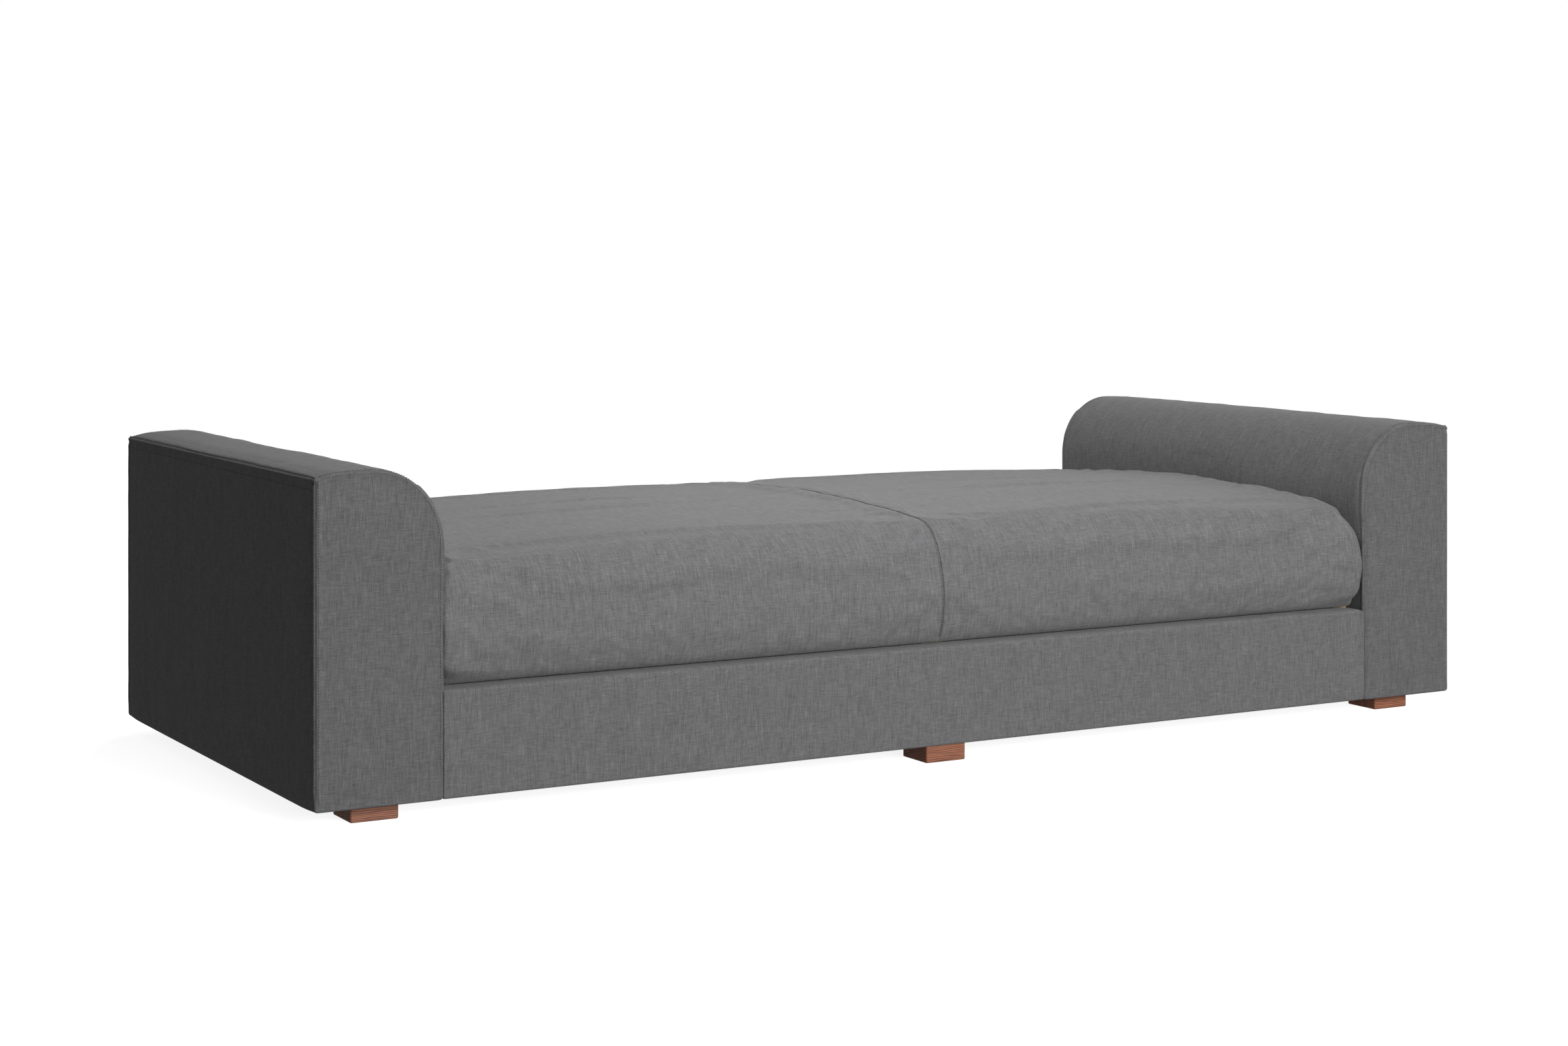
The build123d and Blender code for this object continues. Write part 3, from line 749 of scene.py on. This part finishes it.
def arm_welts(z, edge_run, from_top_seam, upper, wall):
    """The seams dip, with a raised band beside them and a groove beyond the band."""
    push = -0.0013 * bell(edge_run, 0.0016) * upper
    push -= 0.0010 * bell(from_top_seam, 0.0018) * wall
    end_band = bell(edge_run - BAND_OFF, BAND_WIDTH) * upper
    top_band = bell(from_top_seam - BAND_OFF, BAND_WIDTH) * wall
    push += 0.0013 * np.maximum(end_band, top_band)
    push -= 0.0020 * bell(edge_run - GROOVE_OFF, GROOVE_WIDTH) * upper * wall
    top_groove = bell(from_top_seam - GROOVE_OFF, GROOVE_WIDTH) * wall
    return push - 0.0022 * top_groove * (z < ARM_EDGE - 0.002)


def arm_filling(arm, edge_run, from_top_seam, wall):
    """The wadding rounds the faces out, and the crown falls a little towards its ends."""
    w, z = arm.flat.T
    inside = arm.fill(0.035)
    side_fill = (1 - np.exp(-from_top_seam / 0.05)) * inside
    crowned = wall * (z > ARM_EDGE - 0.02) * (w > 0.004)
    push = ~wall * 0.0028 * inside
    push += wall * 0.0022 * side_fill * (w < 0.02)
    push -= crowned * 0.0030 * np.exp(-edge_run / 0.016)
    push += wall * (w > ARM_WIDTH - 0.03) * arm_swell(arm.axis, z) * ramp(edge_run, -0.004, 0.02)
    return push


def arm_creases(arm, edge_run, from_top_seam, upper, wall, seed):
    """Upright ripples, drapes on the end faces, and puckers along the seams."""
    w, z = arm.flat.T
    y = arm.axis
    level = np.where(wall, y, w)
    upright = waves(level, z, 0.030, 0.17, seed)
    broad = waves(level, z, 0.11, 0.14, seed + 3)
    push = (0.00055 * upright + 0.0010 * broad) * ramp(edge_run, 0.002, 0.03) * (z > ARM_LOW.z + 0.01)
    drape = waves(w, z, 0.018, 0.12, seed + 5) * ramp(z, 0.36, 0.50) * ramp(edge_run, 0.003, 0.02)
    push += 0.0007 * drape * ~wall
    across = waves(y, arm.around, 0.022, 0.10, seed + 7) * ramp(edge_run, 0.004, 0.02)
    push += 0.0003 * across * wall * (w > 0.02)
    top_line = waves(y, arm.around * 0, 0.09, 1.0, seed + 9) * bell(from_top_seam, 0.05)
    push += 0.0003 * top_line * wall
    pucker = waves(arm.around, y * 0, 0.016, 1.0, seed + 11) * bell(edge_run - 0.007, 0.006)
    return push + 0.0002 * pucker * upper


def stitch_arm(arm, name):
    """Topstitching beside the seams round both end faces and along the outer top edge."""
    grid, lift = arm.sheets()
    runs = arm.run[:arm.wall].reshape(arm.rows, arm.count)[:, 0]
    keep = slice(1, OUTER_POINTS + CORNER_POINTS + 2 * CROWN_POINTS + ROLL_POINTS + INNER_POINTS - 1)
    rows = []
    for where in (STITCH_OFF, -STITCH_OFF):
        for target in (where, arm.total - where):
            r = int(np.argmin(abs(runs - target)))
            rows.append((grid[r, keep], lift[r, keep]))
    wall_rows = slice(arm.first_wall + 4, arm.rows - arm.first_wall - 4)
    for column in (OUTER_POINTS - 3, OUTER_POINTS + CORNER_POINTS + 1):
        rows.append((grid[wall_rows, column], lift[wall_rows, column]))
    return stitch_rows(name, rows)


def make_arm(name, side):
    """One arm's upholstery: side -1 is the left one."""
    def place(axis, flat):
        x = side * (-ARM_LOW.x - flat[:, 0])
        return np.stack([x, axis, flat[:, 1]], 1)

    core = ((ARM_WIDTH * 0.5, 0.14), (ARM_WIDTH * 0.5, 0.44))
    start, stop = ARM_LOW.y + 0.0005, ARM_HIGH.y - 0.0005
    arm = Bolster(arm_loop(), start, stop, SEAM_EDGE, 0.009, core, place)
    w, z = arm.flat.T
    edge_run = arm.rows_gap()
    top_seam = OUTER_POINTS + CORNER_POINTS // 2
    from_top_seam = abs(arm.around - arm.around[top_seam])
    upper = ramp(z, ARM_LOW.z + 0.01, ARM_LOW.z + 0.03)
    wall = arm.region == 0
    push = arm_welts(z, edge_run, from_top_seam, upper, wall)
    push += arm_filling(arm, edge_run, from_top_seam, wall)
    push += arm_creases(arm, edge_run, from_top_seam, upper, wall, 20 if side < 0 else 60)

    # nothing stands out where the hinge arms pass
    by_hinge = wall * (w > ARM_WIDTH - 0.004) * ramp(arm.axis, -0.10, -0.05)
    clear = 0.006 * (1 - by_hinge) - 0.0004 * by_hinge
    arm.push(np.where(by_hinge > 0, np.minimum(push, clear), push))

    obj = arm.mesh(name, arm_weave(side))
    stitches = stitch_arm(arm, name.replace("upholstery", "topstitching"))
    # the arm's linen is a darker copy of the pad's: painted shade
    subdivide(obj, LINEN_ARM_SHADED)
    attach(obj, "base")
    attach(stitches, "base")
    return obj


# ------------ rails
def make_rail(name, side):
    """A padded board: side -1 is the front rail."""
    low, high = RAIL_LOW, RAIL_HIGH
    depth = high.y - low.y - 0.0012
    foot, lip = 0.004, 0.0065
    points = line_points((0, low.z + foot), (0, high.z - lip), 26, 0.3)
    points += arc_points((lip, high.z - lip), lip, 180, 90, 6)
    points += line_points((lip, high.z), (depth, high.z), 8)
    points += line_points((depth, high.z), (depth, low.z), 8)
    points += line_points((depth, low.z), (foot, low.z), 8)
    points += arc_points((foot, low.z + foot), foot, -90, -180, 4)
    loop = np.array(points)
    outer = -low.y

    def place(axis, flat):
        return np.stack([axis, side * (outer - flat[:, 0]), flat[:, 1]], 1)

    core = ((depth * 0.5, 0.06), (depth * 0.5, 0.17))
    rail = Bolster(loop, -ARM_FACE - 0.0008, ARM_FACE + 0.0008, 0.003, 0.010, core, place, face_grid=0.014)
    x, (d, z) = rail.axis, rail.flat.T
    seed = 100 if side < 0 else 130
    front = (d < 0.004) * ramp(z, low.z + 0.004, low.z + 0.02)
    push = front * (0.00050 * waves(x, z, 0.030, 0.30, seed) + 0.0008 * waves(x, z, 0.13, 0.3, seed + 2))
    push += 0.0007 * waves(x, z * 0, 0.045, 1, seed + 5) * bell(z - high.z, 0.012) * (d < 0.03)
    rail.push(push)
    radius = 0.024
    into = np.clip(-side * x - (ARM_FACE - radius), 0, radius * 0.995)
    drop = radius - np.sqrt(radius ** 2 - into ** 2)
    rail.co[:, 2] -= 0.26 * drop * ramp(z, high.z - 0.10, high.z)
    obj = rail.mesh(name, lambda r, v, region: np.stack([
        r.co[v, 0] + r.co[v, 1] * (region != 0) + 0.7,
        np.where(region == 0, r.around[v], r.co[v, 2]) + 8 + side], 1))
    # the rail's linen is a darker copy of the pad's: painted shade
    subdivide(obj, LINEN_RAIL_SHADED)
    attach(obj, "base")
    return obj


# ------------ pad
PAD_BOTTOM = SEAT_LOW.z + 0.0008
UNDER_HALF = 0.425                  # half the depth of the pad's flat underside
RAIL_REST = RAIL_HIGH.z + 0.0008    # where the pad's lower front edge rests on the rail
PAD_CROWN = 0.4345
TOP_SHOULDER = (0.395, 0.418)       # between these heights the pad's front turns into its top
NOSE_REACH = (0.35, 0.46)           # from the middle: the front and rear stretches of the pad
LIP_REACH = (0.449, 0.463)          # and what lies beyond the line where it rests on the rail
TOP_CORNER = 0.037                  # rounding of the ends' upper corners, seen from the front
LOW_CORNER = 0.030                  # and of the lower ones


def pad_loop():
    """The pad's section in Y and Z, from the rear bottom forward, up, and back over the top."""
    front = RAIL_LOW.y
    tuck = 0.053
    nose = [
        (front + tuck + 0.014, PAD_BOTTOM), (front + tuck, RAIL_REST),
        (front + 0.0375, RAIL_REST + 0.0012), (front + 0.0275, 0.2125), (front + 0.0205, 0.228),
        (front + 0.0160, 0.252), (front + 0.0125, 0.290), (front + 0.0175, 0.320),
        (front + 0.0255, 0.350), (front + 0.0365, 0.377), (front + 0.052, 0.3975),
        (front + 0.072, 0.4105), (front + 0.100, 0.4165), (front + 0.170, 0.4220),
        (front + 0.300, 0.4290), (0.0, PAD_CROWN)]
    half = smooth_curve(nose, 8)
    bottom = line_points((0, PAD_BOTTOM), half[0], 20)
    rear_bottom = [(-y, z) for y, z in reversed(bottom[1:])]
    rear = [(-y, z) for y, z in reversed(half[1:])]
    loop = bottom + half + [(0.0, PAD_CROWN)] + rear + [(-half[0][0], PAD_BOTTOM)] + rear_bottom
    return np.array(loop)


def spaced(loop, fine=0.0085, coarse=0.018):
    """Points again along the pad's outline, close together except underneath."""
    pts = np.vstack([loop, loop[:1]])
    step = np.linalg.norm(np.diff(pts, axis=0), axis=1)
    middle = (pts[1:] + pts[:-1]) / 2
    inner = np.where(middle[:, 1] < 0.3, coarse, fine)
    weight = step / np.where(abs(middle[:, 0]) < UNDER_HALF, inner, fine * 0.8)
    along = np.concatenate([[0], np.cumsum(weight)])
    where = np.linspace(0, along[-1], int(along[-1]), endpoint=False)
    return np.stack([np.interp(where, along, pts[:, k]) for k in (0, 1)], 1)


def shape_corners(pad, from_end, nose, above):
    """The pad's front and rear corners: tucked in low down, rounded, and full between."""
    y, z = pad.flat.T
    lip = ramp(abs(y), *LIP_REACH) * above
    tuck = bell(z - PAD_BOTTOM, 0.035) * bell(from_end, 0.045) * above
    pad.co[:, 1] += np.sign(-y) * tuck * 0.003
    corners = (
        (TOP_CORNER, -1.45 * ramp(z, 0.29, 0.41) * nose),
        (LOW_CORNER, (1 - ramp(z, RAIL_REST + 0.02, 0.28)) * lip))
    for radius, weight in corners:
        into = np.clip(radius - from_end, 0, radius * 0.97)
        pad.co[:, 2] += (radius - np.sqrt(radius ** 2 - into ** 2)) * weight
    full = ramp(z, RAIL_REST, RAIL_REST + 0.028) * (1 - ramp(z, 0.35, 0.40))
    pad.co[:, 1] += np.sign(y) * 0.015 * bell(from_end, 0.07) * full * lip


def seam_dip(pad, above):
    """The sewn seam across the middle, with small puckers beside it."""
    seam = abs(pad.axis)
    push = -0.0034 * bell(seam, 0.0017)
    push += 0.0006 * bell(seam - 0.0042, 0.0020)
    push -= 0.0010 * bell(seam, 0.012)
    push += 0.0005 * waves(pad.around, seam * 0, 0.013, 1.0, 5) * bell(seam - 0.010, 0.012)
    return push * above


def top_folds(pad, top, left, right):
    """Long soft folds over the top, and fine drag lines by the arms."""
    x, around = pad.axis, pad.around
    turn = math.radians(24)
    u = x * math.cos(turn) + around * math.sin(turn)
    v = -x * math.sin(turn) + around * math.cos(turn)
    push = 0.00080 * waves(u, v, 0.17, 0.030, 11, 3)
    push += 0.0011 * waves(x, around, 0.35, 0.12, 15)
    push += left * 0.0010 * waves(x, around, 0.22, 0.017, 19)
    push += right * 0.0007 * waves(x, around, 0.16, 0.022, 23)
    return push * top


def front_folds(pad, end, bolster):
    """Upright ripples on the fronts, and folds that fan out from their corners."""
    x = pad.axis
    z = pad.flat[:, 1]
    push = bolster * 0.0011 * waves(x, z, 0.050, 0.28, 31)
    push += bolster * 0.0018 * waves(x, z, 0.19, 0.24, 33)
    push += bell(z - 0.392, 0.022) * 0.0008 * waves(x + 0.55 * z, z, 0.028, 0.10, 37)
    for sign, seed in ((-1, 41), (1, 47)):
        px = (x - sign * (end - 0.012)) * -sign
        pz = 0.405 - z
        angle = np.arctan2(pz, np.maximum(px, 1e-4))
        reach = np.hypot(px, pz)
        fan = waves(angle, reach, 0.16, 0.5, seed)
        fan = fan * ramp(reach, 0.008, 0.05) * (1 - ramp(reach, 0.10, 0.24))
        push += bolster * fan * 0.0022 * (px > 0)
    return push


def arm_scallops(pad, from_end, top):
    """Scallops where the top meets the arms, deeper along the right one."""
    x, around = pad.axis, pad.around
    push = 0.0042 * waves(around, x * 0, 0.036, 1.0, 53, 1) * bell(from_end, 0.020) * (x > 0)
    push += 0.0022 * waves(around, x * 0, 0.055, 1.0, 57) * bell(from_end, 0.018) * (x < 0)
    return push * top


def make_pad():
    """Seat and back filling under one cover, with a sewn seam across the middle."""
    loop = spaced(pad_loop())
    end = ARM_FACE - PAD_SIDE_GAP

    def place(axis, flat):
        return np.stack([axis, flat[:, 0], flat[:, 1]], 1)

    high_edge = ramp(loop[:, 1], 0.36, 0.41)
    edge = 0.003 + (0.009 + 0.014 * high_edge) * ramp(loop[:, 1], RAIL_REST + 0.003, RAIL_REST + 0.045)
    beside_seam = (0.0, 0.0012, 0.0025, 0.0042, 0.0065, 0.0095, 0.0135)
    seam_lines = [d * s for d in beside_seam for s in (-1, 1)]
    core = ((-0.40, 0.31), (0.40, 0.31))
    pad = Bolster(loop, -end, end, edge, 0.0095, core, place, face_grid=0.013, extra=seam_lines)
    x = pad.axis
    y, z = pad.flat.T
    top = ramp(z, *TOP_SHOULDER)
    under = z < PAD_BOTTOM + 0.004
    above = ~under
    face = pad.region != 0
    from_end = end - abs(x)
    nose = ramp(abs(y), *NOSE_REACH) * above

    # the crown is lower by the arms
    pad.co[:, 2] -= top * 0.013 * ramp(abs(x), 0.35, end) ** 1.4
    shape_corners(pad, from_end, nose, above)

    # the cover hangs over its filling, held along the seam, the ends and underneath
    held = (1.0 * under, 1.0 * face, bell(x, 0.007), bell(from_end, 0.008), bell(z - PAD_BOTTOM, 0.012))
    pad.settle(0.10 + 0.9 * np.maximum.reduce(held), slack=0.03, pressure=1.5, cap=0.0030)

    # the front corners fill the room up to the arms
    pad.co[:, 0] += np.sign(x) * 0.008 * bell(from_end, 0.028) * (1 - ramp(z, 0.36, 0.41)) * nose

    push = seam_dip(pad, above)
    push += top_folds(pad, top, ramp(-x, 0.30, 0.93), ramp(x, 0.30, 0.93))
    push += front_folds(pad, end, (1 - top) * above)
    push += arm_scallops(pad, from_end, top)
    pad.push(np.maximum(push, -0.02) * ~face)
    limit = ARM_FACE - 0.0006 - arm_swell(pad.co[:, 1], pad.co[:, 2])
    pad.co[:, 0] = np.clip(pad.co[:, 0], -limit, limit)

    obj = pad.mesh("futon_pad", lambda b, v, region: np.stack([
        np.where(region == 0, b.axis[v], b.flat[v, 0] + 4.4 * region),
        np.where(region == 0, b.around[v], b.flat[v, 1] + 6.6)], 1))
    grid, lift = pad.sheets()
    shown = np.where((loop[:, 1] > PAD_BOTTOM + 0.002))[0]
    rows = [(grid[pad.ring(d), shown], lift[pad.ring(d), shown]) for d in (-0.0025, 0.0025)]
    stitches = stitch_rows("pad_seam_stitching", rows)
    subdivide(obj, LINEN_PAD)
    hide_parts("seat_pad", "back_pad", "fold_filling")
    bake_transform(obj)
    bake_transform(stitches)
    return obj


# ------------ stage
CAMERA_LENS = 63.75
CAMERA_SHIFT = -0.1867
CAMERA_TURN = 29.55
CAMERA_PLACE = (-2.639, -4.573, 0.928)
AMBIENT = 0.148
LIGHTS = (                          # name, place, aim, size and watts
    ("overhead", (-0.25, 0.25, 2.5), (0.95, 0.2, 0.45), (2.4, 0.8), 37),
    ("front_right", (0.3, -5.2, 1.55), (0.0, 0, 0.3), (2.8, 1.8), 218),
    ("rear_right", (3.0, 4.5, 2.6), (0.3, 0, 0.3), (3.0, 2.4), 60),
)
FLOOR_CLEAR = (1.7, 3.4)            # the floor's shadows fade out between these distances
DOME = 45.0


def make_floor():
    """A pale floor whose shadows fade out with distance into plain white."""
    mesh = bpy.data.meshes.new("floor")
    sides = 48
    turns = [2 * math.pi * k / sides for k in range(sides)]
    rim = [(DOME * math.cos(turn), DOME * math.sin(turn), 0) for turn in turns]
    mesh.from_pydata(rim, [], [tuple(range(sides))])
    floor = bpy.data.objects.new("floor", mesh)
    material, nodes, links, shader = new_material("studio_floor")
    coords = nodes.new("ShaderNodeTexCoord")
    tone = noise_node(nodes, links, coords.outputs["Object"], 0.4, 2, 0.5)
    color = ramp_node(nodes, links, tone, ((0.3, grey(0.90)), (0.7, grey(0.92))))
    links.new(color, shader.inputs["Base Color"])
    shader.inputs["Roughness"].default_value = 0.9
    shader.inputs["Specular IOR Level"].default_value = 0.0
    shader.inputs["Emission Color"].default_value = (1.0, 1.0, 1.0, 1.0)
    shader.inputs["Emission Strength"].default_value = 0.86
    white = nodes.new("ShaderNodeEmission")
    radial = nodes.new("ShaderNodeVectorMath")
    radial.operation = "LENGTH"
    links.new(scaled(nodes, links, coords.outputs["Object"], (0.8, 1.0, 1.0)), radial.inputs[0])
    fade = nodes.new("ShaderNodeMapRange")
    fade.interpolation_type = "SMOOTHSTEP"
    fade.inputs["From Min"].default_value = FLOOR_CLEAR[0]
    fade.inputs["From Max"].default_value = FLOOR_CLEAR[1]
    links.new(radial.outputs["Value"], fade.inputs["Value"])
    blend = nodes.new("ShaderNodeMixShader")
    links.new(fade.outputs["Result"], blend.inputs[0])
    links.new(shader.outputs[0], blend.inputs[1])
    links.new(white.outputs[0], blend.inputs[2])
    links.new(blend.outputs[0], nodes["Material Output"].inputs["Surface"])
    mesh.materials.append(material)
    return floor


def make_dome():
    """Plain white all round."""
    bm = bmesh.new()
    bmesh.ops.create_icosphere(bm, subdivisions=4, radius=DOME)
    shell = bpy.data.meshes.new("dome")
    bm.to_mesh(shell)
    bm.free()
    dome = bpy.data.objects.new("dome", shell)
    glow, nodes, links, _ = new_material("studio_white")
    white = nodes.new("ShaderNodeEmission")
    links.new(white.outputs[0], nodes["Material Output"].inputs["Surface"])
    shell.materials.append(glow)
    return dome


def make_lights():
    """An even white surround and soft lamps above, in front and behind."""
    world = bpy.data.worlds.new("studio")
    world.use_nodes = True
    world.node_tree.nodes["Background"].inputs["Color"].default_value = (1.0, 1.0, 1.0, 1.0)
    world.node_tree.nodes["Background"].inputs["Strength"].default_value = AMBIENT
    bpy.context.scene.world = world
    for name, place, aim, size, power in LIGHTS:
        data = bpy.data.lights.new(name, "AREA")
        data.shape = "RECTANGLE"
        data.size, data.size_y = size
        data.energy = power
        lamp = bpy.data.objects.new(name, data)
        lamp.location = place
        lamp.visible_camera = False
        lamp.rotation_euler = (Vector(aim) - Vector(place)).to_track_quat("-Z", "Y").to_euler()
        bpy.context.scene.collection.objects.link(lamp)


def make_camera():
    """A level camera, shifted down to frame the sofa bed as in the photo."""
    data = bpy.data.cameras.new("camera")
    data.lens = CAMERA_LENS
    data.sensor_width = 36.0
    data.shift_y = CAMERA_SHIFT
    data.clip_end = 200
    camera = bpy.data.objects.new("camera", data)
    camera.location = CAMERA_PLACE
    camera.rotation_euler = (math.radians(90), 0, math.radians(-CAMERA_TURN))
    bpy.context.scene.collection.objects.link(camera)
    bpy.context.scene.camera = camera


def make_stage():
    for stage in (make_floor(), make_dome()):
        bpy.context.scene.collection.objects.link(stage)
        stage.visible_diffuse = False
        stage.visible_glossy = False
        stage.visible_shadow = False
    make_lights()
    make_camera()
    bpy.context.scene.view_settings.view_transform = "Standard"


dress_cad_nodes()
for arm_name, arm_side in (("left", -1), ("right", 1)):
    arm_object = make_arm(arm_name + "_arm_upholstery", arm_side)
    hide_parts(arm_name + "_arm_cover")
for rail_name, rail_side in (("front", -1), ("rear", 1)):
    rail_object = make_rail(rail_name + "_rail_upholstery", rail_side)
    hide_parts(rail_name + "_rail_cover")
make_pad()
make_stage()
